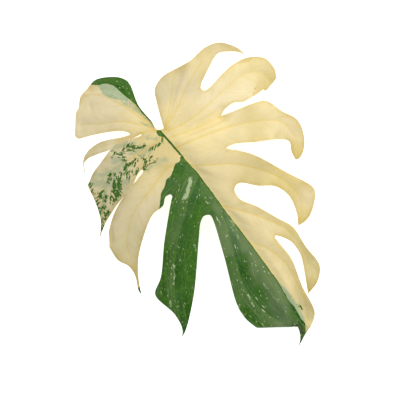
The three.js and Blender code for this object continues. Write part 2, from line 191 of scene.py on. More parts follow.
print("veins:", len(vein_paths))


# %% How near each vein passes
def measure_to(path, x, y):
    """For each place: distance to a path in plan, signed to its left, and the height and run there."""
    nearest = np.full(x.shape, np.inf)
    side, height, run = np.ones(x.shape), np.zeros(x.shape), np.zeros(x.shape)
    travelled = 0.0
    for start, stop in zip(path, path[1:]):
        step = stop - start
        length = math.hypot(step[0], step[1])
        share = np.clip(((x - start[0]) * step[0] + (y - start[1]) * step[1]) / length**2, 0, 1)
        away = np.hypot(x - start[0] - share * step[0], y - start[1] - share * step[1])
        closer = away < nearest
        left = step[0] * (y - start[1]) - step[1] * (x - start[0])
        nearest = np.where(closer, away, nearest)
        side = np.where(closer, np.where(left < 0, -1.0, 1.0), side)
        height = np.where(closer, start[2] + share * step[2], height)
        run = np.where(closer, travelled + share * length, run)
        travelled += length
    return nearest, side, height, run


# %% [markdown]
# ## The form of the blade
#
# Between the veins the height is a blend of the heights around, weighted by nearness, and the
# blade swells a little above them, as a leaf does between its ribs. The sum is softly stopped at
# the surface that the leaf lies on. On top of that form come the small reliefs of the skin: the
# groove over each vein, low furrows that run with it, and a loose ruffle along the margin.

# %% Height from the veins
THICKNESS = 0.6
HALF = THICKNESS / 2
HOLD_AREA = 4  # keeps a vein's hold on the blade finite right on its line
HOLD_BLEND = 3  # how softly the distances to several veins blend into one
HOLD_LEAST = 1e-12  # keeps the logarithm finite far from every vein
PUFF_HEIGHT = 3.2  # how far the blade swells above its veins
PUFF_WIDTH = 9
PUFF_POWER = 1.3
DROOP = 0.0042  # how the blade falls away again far from a vein
SETTLING = 1.5  # how softly a lobe's end bends onto the surface
MIDRIB_SINK = 2.2
MIDRIB_VALLEY = 7


def carried_height(x, y):
    """Height of the blade's middle surface, with no fine relief."""
    weights, carried, closeness = 0, 0, HOLD_LEAST
    for path in vein_paths.values():
        away, _, height, _ = measure_to(path, x, y)
        weight = (away**2 + HOLD_AREA) ** -2
        weights = weights + weight
        carried = carried + weight * height
        closeness = closeness + np.exp(-away / HOLD_BLEND)
    clear = np.maximum(-HOLD_BLEND * np.log(closeness), 0)
    puff = PUFF_HEIGHT * (1 - np.exp(-((clear / PUFF_WIDTH) ** PUFF_POWER))) - DROOP * clear**2
    from_midrib = measure_to(vein_paths["midrib"], x, y)[0]
    valley = MIDRIB_SINK * np.exp(-((from_midrib / MIDRIB_VALLEY) ** 2))
    return carried / weights + puff - valley - HALF


def settled(above):
    """Heights stopped softly at the surface under the leaf."""
    bent = np.maximum(above + SETTLING, 0) ** 2 / (4 * SETTLING)
    return HALF + np.where(above > SETTLING, above, bent)


# %% Tucked lobe ends
TUCK_RADIUS = 3
TUCK_REACH = 24  # what lies farther beyond a line belongs to another lobe
# the lines that three lobe ends turn under along, with the end on each line's left
TUCKS = {
    "second cream lobe": ((-131.5, 23.4), (-105.2, 29.5)),
    "last green lobe": ((5.9, 236.6), (36.9, 215.1)),
    "first green lobe": ((72, -40), (46.3, -72)),
}


def laid(x, y, relief):
    """Where places of the flat blade go: up to their height, or round and under at a tucked end."""
    out_x, out_y, z = x.copy(), y.copy(), settled(carried_height(x, y) + relief)
    for start, stop in TUCKS.values():
        length = math.dist(start, stop)
        line_x, line_y = (stop[0] - start[0]) / length, (stop[1] - start[1]) / length
        along = (x - start[0]) * line_x + (y - start[1]) * line_y
        beyond = (y - start[1]) * line_x - (x - start[0]) * line_y
        tucked = (beyond > 0) & (beyond <= TUCK_REACH) & (along >= 0) & (along <= length)
        gone = beyond[tucked]
        foot_x, foot_y = x[tucked] + gone * line_y, y[tucked] - gone * line_x
        turn = np.minimum(gone / TUCK_RADIUS, math.pi)
        reach = TUCK_RADIUS * np.sin(turn) - np.maximum(0, gone - math.pi * TUCK_RADIUS)
        top = settled(carried_height(foot_x, foot_y) + relief[tucked] * (1 + np.cos(turn)) / 2)
        out_x[tucked] = foot_x - reach * line_y
        out_y[tucked] = foot_y + reach * line_x
        z[tucked] = top - (top - HALF) * (1 - np.cos(turn)) / 2
    return np.column_stack([out_x, out_y, z])


# %% [markdown]
# ## Filling the outline
#
# The mesh is a constrained Delaunay triangulation: the margin is fixed, points follow every vein
# so that the grooves stay sharp, and an even lattice fills the rest. It makes nearly equal
# triangles however odd the outline is, where a grid would leave steps along the margin.


# %% Which places are inside
def inside(path, x, y):
    """Which places are inside a closed path."""
    crossings = np.zeros(x.shape, bool)
    for (ax, ay), (bx, by) in zip(path[:, :2], np.roll(path[:, :2], -1, axis=0)):
        if ay != by:
            spans = (ay > y) != (by > y)
            crossings ^= spans & (x < (bx - ax) * (y - ay) / (by - ay) + ax)
    return crossings


def closed(points):
    return np.vstack([points, points[:1]])


# %% Points over the blade
low, high = margin_path.min(axis=0), margin_path.max(axis=0)
rows = np.arange(low[1], high[1], FINE * math.sqrt(0.75))
columns = np.arange(low[0], high[0], FINE)
lattice_x, lattice_y = np.meshgrid(columns, rows)
lattice_x = lattice_x + (np.arange(len(rows)) % 2)[:, None] * FINE / 2
lattice = np.column_stack([lattice_x.ravel(), lattice_y.ravel()])
lattice = lattice[inside(margin_path, *lattice.T)]
vein_points = np.vstack([smooth_path(points, FINE)[1:, :2] for points in VEINS.values()])
vein_points = vein_points[inside(margin_path, *vein_points.T)]


def clear_of(points, paths, gap):
    """The points that keep a gap from every path."""
    near = [measure_to(path, *points.T)[0] for path in paths]
    return points[np.min(near, axis=0) > gap]


LATTICE_GAP = 0.6 * FINE
VEIN_POINT_GAP = 0.5 * FINE
fine_veins = [smooth_path(points, FINE) for points in VEINS.values()]
lattice = clear_of(lattice, [closed(margin_path), *fine_veins], LATTICE_GAP)
vein_points = clear_of(vein_points, [closed(margin_path)], VEIN_POINT_GAP)
flat_points = np.vstack([margin_path[:, :2], vein_points, lattice])

# %% Triangles
INSIDE_ONLY = 1  # the kind of result: triangles within the ring
SAME_PLACE = 1e-4
ring = list(range(len(margin_path)))
places = [Vector(place) for place in flat_points]
flat_places, _, triangles, *_ = delaunay_2d_cdt(places, [], [ring], INSIDE_ONLY, SAME_PLACE, False)
flat, triangles = np.array(flat_places), np.array(triangles)
triangles = triangles[inside(margin_path, *flat[triangles].mean(axis=1).T)]
print("blade points and triangles:", len(flat), len(triangles))

# %% [markdown]
# ## Measures over the blade
#
# Every place of the blade needs a few measures, for its relief now and for its colours later: the
# distance to the margin, and where it sits across and along the nearest vein. Streaks and furrows
# then follow the grain of the leaf simply by being drawn in those two measures.

# %% Margin distance and grain
place_x, place_y = flat.T
from_margin = measure_to(closed(margin_path), place_x, place_y)[0]
across = np.full(place_x.shape, np.inf)
along = np.zeros(place_x.shape)
lobe = np.zeros(place_x.shape)
vein_strength = np.zeros(place_x.shape)
FADE_ALONG = 0.6  # of a vein's strength, lost by its end
for number, path in enumerate(fine_veins):
    away, side, _, run = measure_to(path, place_x, place_y)
    closer = away < np.abs(across)
    across = np.where(closer, away * side, across)
    along = np.where(closer, run, along)
    lobe = np.where(closer, number, lobe)
    vein_strength = np.where(closer, 1 - FADE_ALONG * run / run.max(), vein_strength)
BRANCH_ANGLE = math.radians(36)  # at which side veins leave a vein
branch_run = along * math.cos(BRANCH_ANGLE) + np.abs(across) * math.sin(BRANCH_ANGLE)
branch_across = np.abs(across) * math.cos(BRANCH_ANGLE) - along * math.sin(BRANCH_ANGLE)
print("widest half lobe, mm:", round(float(np.abs(across).max()), 1))


# %% Fine relief
GROOVE_DEPTH, GROOVE_WIDTH = 0.3, 1.5
FURROW_HEIGHT, FURROW_SPACING = 0.05, 6.5
PLEAT_HEIGHT, PLEAT_SPACING = 0.05, 7.5
RELIEF_RISES, RELIEF_FADES = (1.5, 5), (9, 15)  # away from a vein
RELIEF_MARGIN = 5
RUFFLE_HEIGHT, RUFFLE_REACH = 0.7, 9
RUFFLE_ACROSS, RUFFLE_ALONG = 13, 15  # how slowly the ruffle waves
RUFFLE_WANDER, RUFFLE_TWIST = 19, 1.7  # keep two stretches of margin from waving alike


def ramp(value, start, stop):
    """0 before start, 1 after stop, smooth between."""
    share = np.clip((value - start) / (stop - start), 0, 1)
    return share * share * (3 - 2 * share)


def fine_relief():
    off_vein = np.abs(across)
    groove = -GROOVE_DEPTH * np.exp(-((off_vein / GROOVE_WIDTH) ** 2))
    inner = ramp(off_vein, *RELIEF_RISES) * ramp(from_margin, 0, RELIEF_MARGIN)
    inner = inner * (1 - ramp(off_vein, *RELIEF_FADES))
    furrows = FURROW_HEIGHT * np.cos(2 * math.pi * (off_vein / FURROW_SPACING)) * inner
    pleats = PLEAT_HEIGHT * np.sin(2 * math.pi * branch_across / PLEAT_SPACING) * inner
    wander = RUFFLE_TWIST * np.sin(place_y / RUFFLE_WANDER + 0.5)
    waves = np.sin(place_x / RUFFLE_ACROSS + wander) * np.sin(place_y / RUFFLE_ALONG + 0.4)
    ruffle = RUFFLE_HEIGHT * waves * np.exp(-from_margin / RUFFLE_REACH)
    return groove + furrows + pleats + ruffle


blade_points = laid(place_x, place_y, fine_relief())
print("blade height, mm:", blade_points[:, 2].min().round(2), "to", blade_points[:, 2].max().round(2))

# %% [markdown]
# ## Where the colours lie
#
# Variegated tissue comes in sectors with sharp, ragged borders, in patches that have been pulled
# out along the grain, and in pale washes where green cells lie under clear ones. Each is stored as
# a distance in millimetres, positive inside. The material cuts the distance at zero, after it has
# been roughened, so a border stays crisp at any size.

# %% Green
GREEN_SECTORS = [
    # the rim of the first lobe, from the stalk round its back
    [(1.5, -1.5), (2.5, -5), (2, -9), (2.5, -16), (3.5, -24), (3.6, -34.5), (5.2, -40.5), (7, -47),
     (8.5, -52.5), (9.2, -57.5), (10, -62.5), (14, -68), (17.5, -71), (20.5, -71.5), (28.5, -77.5),
     (24, -84), (0, -76), (-10, -56), (-4, -20), (-2, -2)],
    # the green half: its scalloped edge, the split it ends at, round the tip and back up the midrib
    [(-1, 34), (0.5, 36.5), (3, 38), (6.5, 37), (9.5, 38.5), (12.5, 41), (18, 44.5), (23, 44.5), (28, 48),
     (31.5, 50.5), (35, 51.5), (38, 55), (42, 59), (46, 63.5), (50, 70), (80, 98), (105, 124), (122, 150),
     (115, 195), (60, 250), (18, 264), (0, 252), (1, 250), (-1, 247.5), (-3.3, 243.5), (-3, 236),
     (-3.8, 230), (-4.5, 221), (-3.7, 214.5), (-4.7, 207), (-6.2, 193), (-6.3, 171), (-6.5, 141),
     (-5.9, 118), (-5.6, 103), (-5.9, 88), (-5.8, 58), (-5, 50), (-4, 43), (-3, 36)],
    # beside the stalk
    [(3.6, -1.2), (4, 5), (0.5, 8), (-2, 1.5)],
]
# strokes of green, each a path and half its width: the young midrib, the end of the fourth lobe and
# two stray marks beside the drip tip
GREEN_STROKES = [
    ([(0.7, 1), (-0.8, 8), (-1.9, 22), (-3, 36)], 1.15), ([(110, 118), (112.5, 123)], 3),
    ([(-10, 224), (-9, 230)], 0.7), ([(-7.5, 222), (-8, 226)], 0.5),
]
print("green sectors and strokes:", len(GREEN_SECTORS), len(GREEN_STROKES))

# %% Marbling
# dark strokes on the third lobe, from the stalk out to its tip
MARBLE_STROKES = [
    ([(1.5, 7), (4, 11), (9, 11.5), (15, 11.5), (18.5, 10.5)], 0.6),
    ([(35.5, -6.5), (31, -2.5), (27, 2.5), (22, 4)], 1.3), ([(37, -3), (32, 2)], 0.6),
    ([(49.5, -8.5), (47, -3), (40.5, -4)], 0.9), ([(55, -6.5), (53, -5.5)], 0.3),
    ([(44.5, -1), (45.5, 4.5)], 1.1), ([(31.5, 8.5), (40, 10), (45, 11.5)], 0.6),
    ([(35.5, 12), (42, 14.5)], 0.6), ([(21.5, 18), (26.5, 20), (35, 22.5)], 0.9),
    ([(29.5, 13.5), (28, 17.5)], 1.0), ([(20, 22), (23.5, 23.5)], 0.7),
    ([(46.5, 9), (55.5, 13), (61.5, 17)], 1.5), ([(50, 14.5), (53.5, 20.5)], 1.5),
    ([(46, 17), (46.5, 19.5)], 0.6), ([(64.5, 7), (72, 12.5)], 1.0), ([(61.5, 12), (70, 18)], 1.3),
    ([(62, 17.5), (66, 23)], 2.0), ([(67, 19), (72, 22.5)], 1.8), ([(66, 22), (70, 27)], 2.6),
    ([(69, 24.5), (75, 29)], 2.2), ([(75, 28.5), (79.5, 31)], 1.6), ([(38.5, 18.5), (43.5, 22.5)], 0.9),
    ([(88, 1.5), (90, 7.5), (91, 12)], 1.0), ([(86, 4.5), (88.5, 4.5)], 0.7),
    ([(81.5, 15), (87.5, 18), (92, 20.5)], 1.6), ([(81.5, 22.5), (86.5, 25.5)], 1.3),
    ([(78, 25.5), (82.5, 29)], 0.9), ([(90.5, 28.5), (94.5, 30)], 1.3),
    ([(90, 36), (96, 38.5), (100.5, 41)], 0.8), ([(93.5, 33.5), (94, 36)], 0.8),
    ([(93, 18), (97, 28), (101, 38), (105.5, 46), (110, 50)], 0.9),
]
print("marbling strokes:", len(MARBLE_STROKES))

# %% Washes
# bluish: a band inside the first lobe's green rim, a strip beside the drip tip, a touch at the stalk
BLUE_WASH_SECTORS = [
    [(16, -76), (23.5, -73), (23.5, -68.5), (23.8, -62.5), (22, -56.5), (18, -51.5), (13.5, -47.5),
     (9.5, -41), (3, -46), (4, -60), (8, -70)],
    [(-6.5, 190), (-8.5, 204), (-8.6, 214), (-7.8, 223), (-6.8, 231), (-5, 241), (0, 241), (0, 215),
     (-3, 200)],
]
BLUE_WASH_STROKES = [
    ([(10, -17), (7, -11), (3.5, -6)], 0.9),
]
# faint: the band's tail, down to the stalk
PALE_WASH_SECTORS = [
    [(14.1, -47), (13, -39.9), (9.8, -33.2), (7.2, -25.1), (4.8, -17.2), (3.5, -8), (0, -8), (-2, -30),
     (2, -47)],
]
# clouded patches on the third lobe and at its base
WASH_STROKES = [
    ([(54.5, -2), (48.5, 2.5)], 3.5), ([(57, 5), (73, 3)], 3.0), ([(77, -1.5), (75.5, -1)], 2.2),
    ([(82, 5), (73.5, 14)], 4.5), ([(62, 8.5), (71, 13.5)], 4.0), ([(62.5, 22), (55, 22)], 2.8),
    ([(46.5, -11.5), (37, -8.5), (28, -4)], 2.5), ([(24, 6.5), (37, 1)], 2.0),
    ([(12.5, 27.5), (22, 25), (33.5, 25)], 2.6), ([(14.5, -1), (7.5, 5.5)], 2.2),
    ([(80, 16.5), (91, 29.5)], 2.8), ([(19, 11.5), (27.5, 11)], 2.5), ([(50, 7), (56, 7)], 3.0),
    ([(96, 28), (104, 42)], 3.0),
]
print("clouded patches:", len(WASH_STROKES))

# %% Pale streaks
# in the green half: one large and tapered, the others slim
PALE_SECTORS = [
    [(3.5, 55.5), (1, 58.5), (5, 63), (10.5, 67), (17, 71.5), (25, 70.5), (20, 68.5), (13.5, 64.5),
     (7, 58)],
]
PALE_STROKES = [
    ([(68, 117.5), (72, 123), (76, 129)], 1.1), ([(39, 113.5), (42.5, 120)], 0.8),
    ([(45, 97.5), (46.5, 100.5)], 0.7), ([(93, 145), (95.5, 151)], 0.9),
    ([(91.5, 129.5), (94.5, 132.5)], 0.5), ([(82, 154.5), (84, 158)], 0.6),
    ([(25.5, 185), (28.5, 198.5)], 1.0), ([(4.5, 107.5), (8.5, 114.5)], 0.6),
    ([(-4, 115), (-4, 121.5)], 0.7), ([(-1, 130), (0.5, 134.5)], 0.8),
    ([(6.5, 184.5), (7.5, 191.5)], 0.5), ([(6.5, 203), (5.5, 209.5)], 0.6),
    ([(32, 218), (32, 221.5)], 0.9), ([(19, 228), (18.5, 229.5)], 0.5), ([(-2.5, 84.5), (-1, 87.5)], 0.5),
    ([(2, 39), (2.5, 42)], 0.7), ([(20, 44), (21, 46)], 0.6), ([(15.5, 55.5), (20, 60.5)], 0.4),
    ([(24, 86), (25.5, 89)], 0.6), ([(59.5, 117), (61.5, 120.5)], 0.5),
    ([(40.5, 188.5), (42.5, 201.5)], 0.8), ([(63.5, 144.5), (67, 148)], 0.6),
    ([(13, 104), (14.5, 106.5)], 0.5), ([(8.5, 75.5), (9.5, 79)], 0.5), ([(5, 216), (5.5, 222.5)], 0.5),
    ([(6.5, 196), (6, 201)], 0.4), ([(-0.5, 120), (0.5, 125.5)], 0.5),
]
print("pale streaks:", len(PALE_SECTORS) + len(PALE_STROKES))

# %% Distance into a mark
FAR_OUTSIDE = -60.0  # mm, where nothing is near


def depth_in(outline, x, y):
    """Distance in from a closed outline, negative outside it."""
    outline = np.array([(*point, 0) for point in outline], float)
    away = measure_to(closed(outline), x, y)[0]
    return np.where(inside(outline, x, y), away, -away)


def depth_in_any(sectors, strokes, x, y):
    """Distance in from the nearest of many sectors and strokes."""
    depth = np.full(x.shape, FAR_OUTSIDE)
    for outline in sectors:
        depth = np.maximum(depth, depth_in(outline, x, y))
    for points, half_width in strokes:
        path = np.array([(*point, 0) for point in points], float)
        depth = np.maximum(depth, half_width - measure_to(path, x, y)[0])
    return depth


# %% [markdown]
# ## The tones
#
# Living tissue is never one colour. The creams and greens are named and set down at places
# over the leaf, and every place of the blade takes a blend of the tones around it, in which the
# nearest count most. A painted map would do as well, but here a tone is warmed or moved by
# changing one line.
# The tones also hold painted light and shade: paler where a lobe faces the light, duller where it tilts away.

# %% Tones of cream
# partly the tissue's colour and partly painted light and shade: paler on lobes facing the main light, duller
# where they tilt away
CREAM_TONES_AND_PAINTED_LIGHT = {
    # ivory, partly painted light where the second cream lobe faces the main light
    (0.88, 0.75, 0.46): [(-90, 23), (-62, 8), (-75, 22)],
    # warm ivory, partly painted light near the stalk, where the blade faces the main light
    (0.91, 0.75, 0.38): [(-30, 28), (-14, 14), (-52, 30)],
    # pale butter
    (0.85, 0.71, 0.41): [(-81, 10), (-109, 84), (-76, 143)],
    # butter
    (0.84, 0.70, 0.38): [(-29, -4), (-34, 6), (-100, 1), (-62, 52), (-102, 48), (-92, 70), (-121, 9)],
    # corn
    (0.74, 0.60, 0.28): [(-82, 42), (-76, 58)],
    # cream
    (0.77, 0.64, 0.34): [(15, -21), (40, 39), (-67, -31), (-20, 67), (-38, 59), (-17, 130), (-33, 142),
                         (-14, 160), (-16, 191), (-10, 110), (-8, 45)],
    # straw
    (0.74, 0.60, 0.26): [(-117, -2), (-73, 113), (-64, 156), (-70, 126), (-100, 98), (-119, 25)],
    # sand
    (0.66, 0.54, 0.25): [(21, 10), (13, 28), (-28, 217), (4, 20), (-54, 89)],
    # pale sand
    (0.72, 0.62, 0.32): [(-47, 175), (-41, 206), (-9, 235)],
    # oat
    (0.72, 0.61, 0.37): [(36, -51), (55, -55), (52, -38), (33, -68), (33, -13), (52, 55), (-48, -21),
                         (-103, -29), (38, -31)],
    # pale oat
    (0.71, 0.63, 0.42): [(60, -22), (52, -17), (74, -19)],
    # dull oat
    (0.65, 0.56, 0.33): [(-26, -30), (90, 64), (104, 64), (102, 89)],
    # putty
    (0.61, 0.53, 0.32): [(64, -6), (78, 7), (60, 20)],
    # clay
    (0.56, 0.47, 0.24): [(-18, 228), (101, 99), (108, 74)],
}
print("cream tones:", len(CREAM_TONES_AND_PAINTED_LIGHT))

# %% Tones of green
GREEN_TONES_AND_PAINTED_LIGHT = {
    # leaf green
    (0.044, 0.132, 0.012): [(21, 90), (9, 90), (41, 75), (46, 115), (80, 140), (4, 46), (18, 192),
                            (60, 130), (60, 15), (30, -5), (25, 100)],
    # clear green
    (0.034, 0.135, 0.002): [(6, -66), (0, -52), (2, -20)],
    # deep green
    (0.026, 0.098, 0.002): [(95, 168), (90, 158), (101, 176), (86, 126), (66, 112), (74, 119)],
    # full green, partly painted shade in the valley beside the sixth green lobe's vein
    (0.030, 0.105, 0.006): [(21, 145), (6, 97), (36, 216), (17, 168), (-1, 230), (36, 199), (14, 160)],
    # grey green, partly painted sheen where the blade leans towards the light
    (0.066, 0.138, 0.030): [(25, 82), (10, 151), (30, 172), (27, 216), (19, 54), (50, 86), (14, 62),
                            (22, 155), (28, 194), (31, 187)],
    # pale grey green: painted sheen, the gloss of the waxy skin where it faces the light
    (0.150, 0.205, 0.082): [(13, 230), (10, 222), (0, 98), (17, 139), (0.5, 180), (3, 209), (-1, 122),
                            (-1, 144), (12, 122), (-3, 160), (6, 168), (2, 195)],
    # drip tip: painted shade, darkest where the tip bends down out of the light
    (0.006, 0.026, 0.000): [(8, 252), (12, 256), (6, 247), (4, 243)],
}
print("green tones:", len(GREEN_TONES_AND_PAINTED_LIGHT))

# %% Blending the tones
CREAM_SOFTNESS = 8  # mm, how widely neighbouring tones blend
GREEN_SOFTNESS = 4


def blended_tone(tones, softness):
    """A colour for each place of the blade, blended from the tones around it."""
    weights, mixed = 0, 0
    for tone, places in tones.items():
        for tone_x, tone_y in places:
            away = np.hypot(place_x - tone_x, place_y - tone_y)
            weight = 1 / (away**2 + softness**2) ** 2
            weights = weights + weight
            mixed = mixed + weight[:, None] * np.array(tone)
    return mixed / weights[:, None]


# %% Every measure by name
def leaf_measures(x, y):
    return {
        "green": depth_in_any(GREEN_SECTORS, GREEN_STROKES, x, y),
        "marble": depth_in_any([], MARBLE_STROKES, x, y),
        "wash": depth_in_any([], WASH_STROKES, x, y),
        "pale wash": depth_in_any(PALE_WASH_SECTORS, [], x, y),
        "blue wash": depth_in_any(BLUE_WASH_SECTORS, BLUE_WASH_STROKES, x, y),
        "pale": depth_in_any(PALE_SECTORS, PALE_STROKES, x, y),
    }


measures = leaf_measures(place_x, place_y)
print("share of green:", round(float((measures["green"] > 0).mean()), 2))

# %% [markdown]
# ## The blade as a mesh
#
# The triangles become a mesh with the measures stored on its points as attributes. Solidify gives
# the sheet its thickness, thinning it towards the margin, and puts the underside and the cut edge
# in material slots of their own. The whole leaf is then moved so that it lies where the solid does.

# %% Move the flat leaf over the solid
flat_middle = (blade_points.min(axis=0) + blade_points.max(axis=0))[:2] / 2
solid_middle = ((leaf_low + leaf_high) / 2 / MM)[:2]
SHIFT = np.array([*(solid_middle - flat_middle), 0.0])
print("leaf moved by, mm:", SHIFT.round(2))


# %% Measures on a mesh
def store(mesh, name, values, kind="FLOAT"):
    """Stores one measure for each point of a mesh."""
    field = {"FLOAT": "value", "FLOAT_VECTOR": "vector", "FLOAT_COLOR": "color"}[kind]
    attribute = mesh.attributes.new(name, kind, "POINT")
    attribute.data.foreach_set(field, np.asarray(values, np.float32).ravel())


def with_alpha(colours):
    return np.column_stack([colours, np.ones(len(colours))])


# %% The sheet
# the third measure of the grain moves each lobe, and each side of it, to noise of its own
LOBE_STEP, SIDE_STEP = 7, 3


def blade_sheet():
    mesh = bpy.data.meshes.new("blade")
    mesh.from_pydata(((blade_points + SHIFT) * MM).tolist(), [], triangles.tolist())
    for name, values in measures.items():
        store(mesh, name, values)
    store(mesh, "margin", from_margin)
    store(mesh, "vein strength", vein_strength)
    store(mesh, "grain", np.column_stack([across, along, LOBE_STEP * lobe]), "FLOAT_VECTOR")
    slices = LOBE_STEP * lobe + SIDE_STEP * np.sign(across)
    branches = np.column_stack([branch_across, branch_run, slices])
    store(mesh, "branch grain", branches, "FLOAT_VECTOR")
    store(mesh, "place", np.column_stack([flat, np.zeros(len(flat))]), "FLOAT_VECTOR")
    # both stored tones carry painted light and shade as well as the tissue's own colours
    store(mesh, "cream tone", with_alpha(blended_tone(CREAM_TONES_AND_PAINTED_LIGHT, CREAM_SOFTNESS)), "FLOAT_COLOR")
    store(mesh, "green tone", with_alpha(blended_tone(GREEN_TONES_AND_PAINTED_LIGHT, GREEN_SOFTNESS)), "FLOAT_COLOR")
    mesh.shade_smooth()
    return mesh


# %% From modifiers to a plain mesh
def plain_mesh(source, name):
    """The finished shape of an object as a plain mesh object, the source removed."""
    shape = source.evaluated_get(bpy.context.evaluated_depsgraph_get())
    finished = bpy.data.objects.new(name, bpy.data.meshes.new_from_object(shape))
    bpy.data.objects.remove(source)
    bpy.context.collection.objects.link(finished)
    finished.data.name = name
    return finished


# %% The blade with its thickness
MARGIN_SHARE = 0.35  # of the blade's thickness, at the margin
THINNING_WIDTH = 3
SHARP_ANGLE = math.radians(50)  # edges bent more than this stay crisp


def thick_blade(finishes):
    sheet = bpy.data.objects.new("blade sheet", blade_sheet())
    bpy.context.collection.objects.link(sheet)
    for finish in finishes:
        sheet.data.materials.append(finish)
    body = sheet.vertex_groups.new(name="body")
    fullness = np.sqrt(np.clip(from_margin / THINNING_WIDTH, 0, 1))
    for index, share in enumerate(fullness):
        body.add([index], float(share), "REPLACE")
    thicken = sheet.modifiers.new("thickness", "SOLIDIFY")
    thicken.thickness = THICKNESS * MM
    thicken.offset = 0
    thicken.vertex_group = "body"
    thicken.thickness_vertex_group = MARGIN_SHARE
    thicken.material_offset = 1
    thicken.material_offset_rim = 2
    blade = plain_mesh(sheet, "leaf_blade")
    blade.data.set_sharp_from_angle(angle=SHARP_ANGLE)
    print("blade triangles:", sum(len(face.vertices) - 2 for face in blade.data.polygons))
    return blade


# %% [markdown]
# ## The ribs underneath
#
# Every vein stands out under the blade as a rounded rib, thickest where it leaves the midrib.
# Geometry Nodes turn one set of lines into all of them: each point of a line carries its own
# radius, and a circle is swept along at that radius. The stub of the stalk is one more line.

# %% Rib lines
MIDRIB_RADII = (2.9, 0.6)
VEIN_RADII = (1.15, 0.25)
STALK_RADIUS = 3.1
STALK_LENGTH = 9
STALK_POINTS = 8
STALK_LEAN = 1.0
STALK_FLARE = 0.06  # of its radius, gained at the cut
RIB_START = 5  # along the midrib, where it meets the stalk
RIB_SPACING = 2.5
RIB_TAPER = 0.8
RIB_FADE = (-1, 3)  # from the margin
RIB_SUNK = 0.1  # how deep a rib's top lies inside the blade
THINNEST_RIB = 0.08


def rib_line(name):
    """The path under one vein and the rib's radius along it, with the blade resting on top."""
    midrib = vein_paths["midrib"][vein_paths["midrib"][:, 1] > RIB_START]
    branching = midrib[np.hypot(*(midrib - VEINS[name][0])[:, :2].T).argmin()]
    points = midrib if name == "midrib" else smooth_path([branching, *VEINS[name]], RIB_SPACING)
    points = points[inside(margin_path, *points[:, :2].T), :2]
    margin_gap = measure_to(closed(margin_path), *points.T)[0]
    thick, thin = MIDRIB_RADII if name == "midrib" else VEIN_RADII
    share = np.linspace(0, 1, len(points))
    radius = (thick + (thin - thick) * share**RIB_TAPER) * ramp(margin_gap, *RIB_FADE)
    surface = laid(*points.T, np.full(len(points), -GROOVE_DEPTH))
    radius = np.maximum(np.minimum(radius, (surface[:, 2] + RIB_SUNK) / 2), THINNEST_RIB)
    surface[:, 2] += RIB_SUNK - radius
    return surface, radius


def stalk_line(top):
    """From the top of the midrib's rib down to the cut."""
    drop = np.linspace(0, 1, STALK_POINTS)[:, None]
    path = top + drop * np.array([0, -STALK_LEAN, -STALK_LENGTH])
    return path, STALK_RADIUS * (1 + STALK_FLARE * drop[:, 0])


def rib_lines():
    """All the lines as one mesh of edges, with what each point needs to know."""
    ribs = {name: rib_line(name) for name in VEINS if "crease" not in name}
    ribs["stalk"] = stalk_line(ribs["midrib"][0][0])
    points, radii, edges = [], [], []
    for path, radius in ribs.values():
        first = sum(map(len, points))
        points.append(path)
        radii.append(radius)
        edges += [(first + i, first + i + 1) for i in range(len(path) - 1)]
    points, radii = np.vstack(points), np.concatenate(radii)
    mesh = bpy.data.meshes.new("rib lines")
    mesh.from_pydata(((points + SHIFT) * MM).tolist(), edges, [])
    store(mesh, "rib radius", radii * MM)
    store(mesh, "green", depth_in_any(GREEN_SECTORS, GREEN_STROKES, *points[:, :2].T))
    print("rib lines:", len(ribs), "points:", len(points))
    return mesh


# %% A small helper for node trees
class Tree:
    """Adds nodes to a tree: a type, its settings, and the values or links of its inputs."""

    def __init__(self, tree):
        self.tree = tree

    def add(self, kind, settings=None, inputs=None, output=0):
        node = self.tree.nodes.new(kind)
        for name, value in (settings or {}).items():
            setattr(node, name, value)
        for key, value in (inputs or {}).items():
            if isinstance(value, bpy.types.NodeSocket):
                self.tree.links.new(value, node.inputs[key])
            else:
                node.inputs[key].default_value = value
        return node.outputs[output]


# %% Ribs by Geometry Nodes
def rib_tree():
    tree = bpy.data.node_groups.new("ribs along lines", "GeometryNodeTree")
    inputs = {"Geometry": "NodeSocketGeometry", "Sides": "NodeSocketInt", "Skin": "NodeSocketMaterial"}
    sockets = {}
    for name, kind in inputs.items():
        sockets[name] = tree.interface.new_socket(name, in_out="INPUT", socket_type=kind).identifier
    tree.interface.new_socket("Geometry", in_out="OUTPUT", socket_type="NodeSocketGeometry")
    given = tree.nodes.new("NodeGroupInput").outputs
    make = Tree(tree)
    radius = make.add("GeometryNodeInputNamedAttribute", {"data_type": "FLOAT"}, {"Name": "rib radius"})
    lines = make.add("GeometryNodeMeshToCurve", {}, {"Mesh": given["Geometry"]})
    section = make.add("GeometryNodeCurvePrimitiveCircle", {}, {"Resolution": given["Sides"], "Radius": 1.0})
    swept = {"Curve": lines, "Profile Curve": section, "Scale": radius, "Fill Caps": True}
    ribs = make.add("GeometryNodeCurveToMesh", {}, swept)
    ribs = make.add("GeometryNodeSetShadeSmooth", {}, {"Geometry": ribs, "Shade Smooth": True})
    ribs = make.add("GeometryNodeRealizeInstances", {}, {"Geometry": ribs})
    ribs = make.add("GeometryNodeSetMaterial", {}, {"Geometry": ribs, "Material": given["Skin"]})
    tree.links.new(ribs, tree.nodes.new("NodeGroupOutput").inputs["Geometry"])
    return tree, sockets


# %% The ribs as one piece
RIB_SIDES = 14


def leaf_ribs(skin):
    lines = bpy.data.objects.new("rib lines", rib_lines())
    bpy.context.collection.objects.link(lines)
    tree, sockets = rib_tree()
    sweep = lines.modifiers.new("ribs", "NODES")
    sweep.node_group = tree
    sweep[sockets["Sides"]] = RIB_SIDES
    sweep[sockets["Skin"]] = skin
    ribs = plain_mesh(lines, "leaf_ribs")
    ribs.data.set_sharp_from_angle(angle=SHARP_ANGLE)
    print("rib faces:", len(ribs.data.polygons))
    return ribs


# %% [markdown]
# ## Writing finishes as sums
#
# A finish is mostly arithmetic on masks and distances. A small class wraps a node's output so that
# plus, times and the rest add Math nodes, and a formula in Python reads as the formula it is.


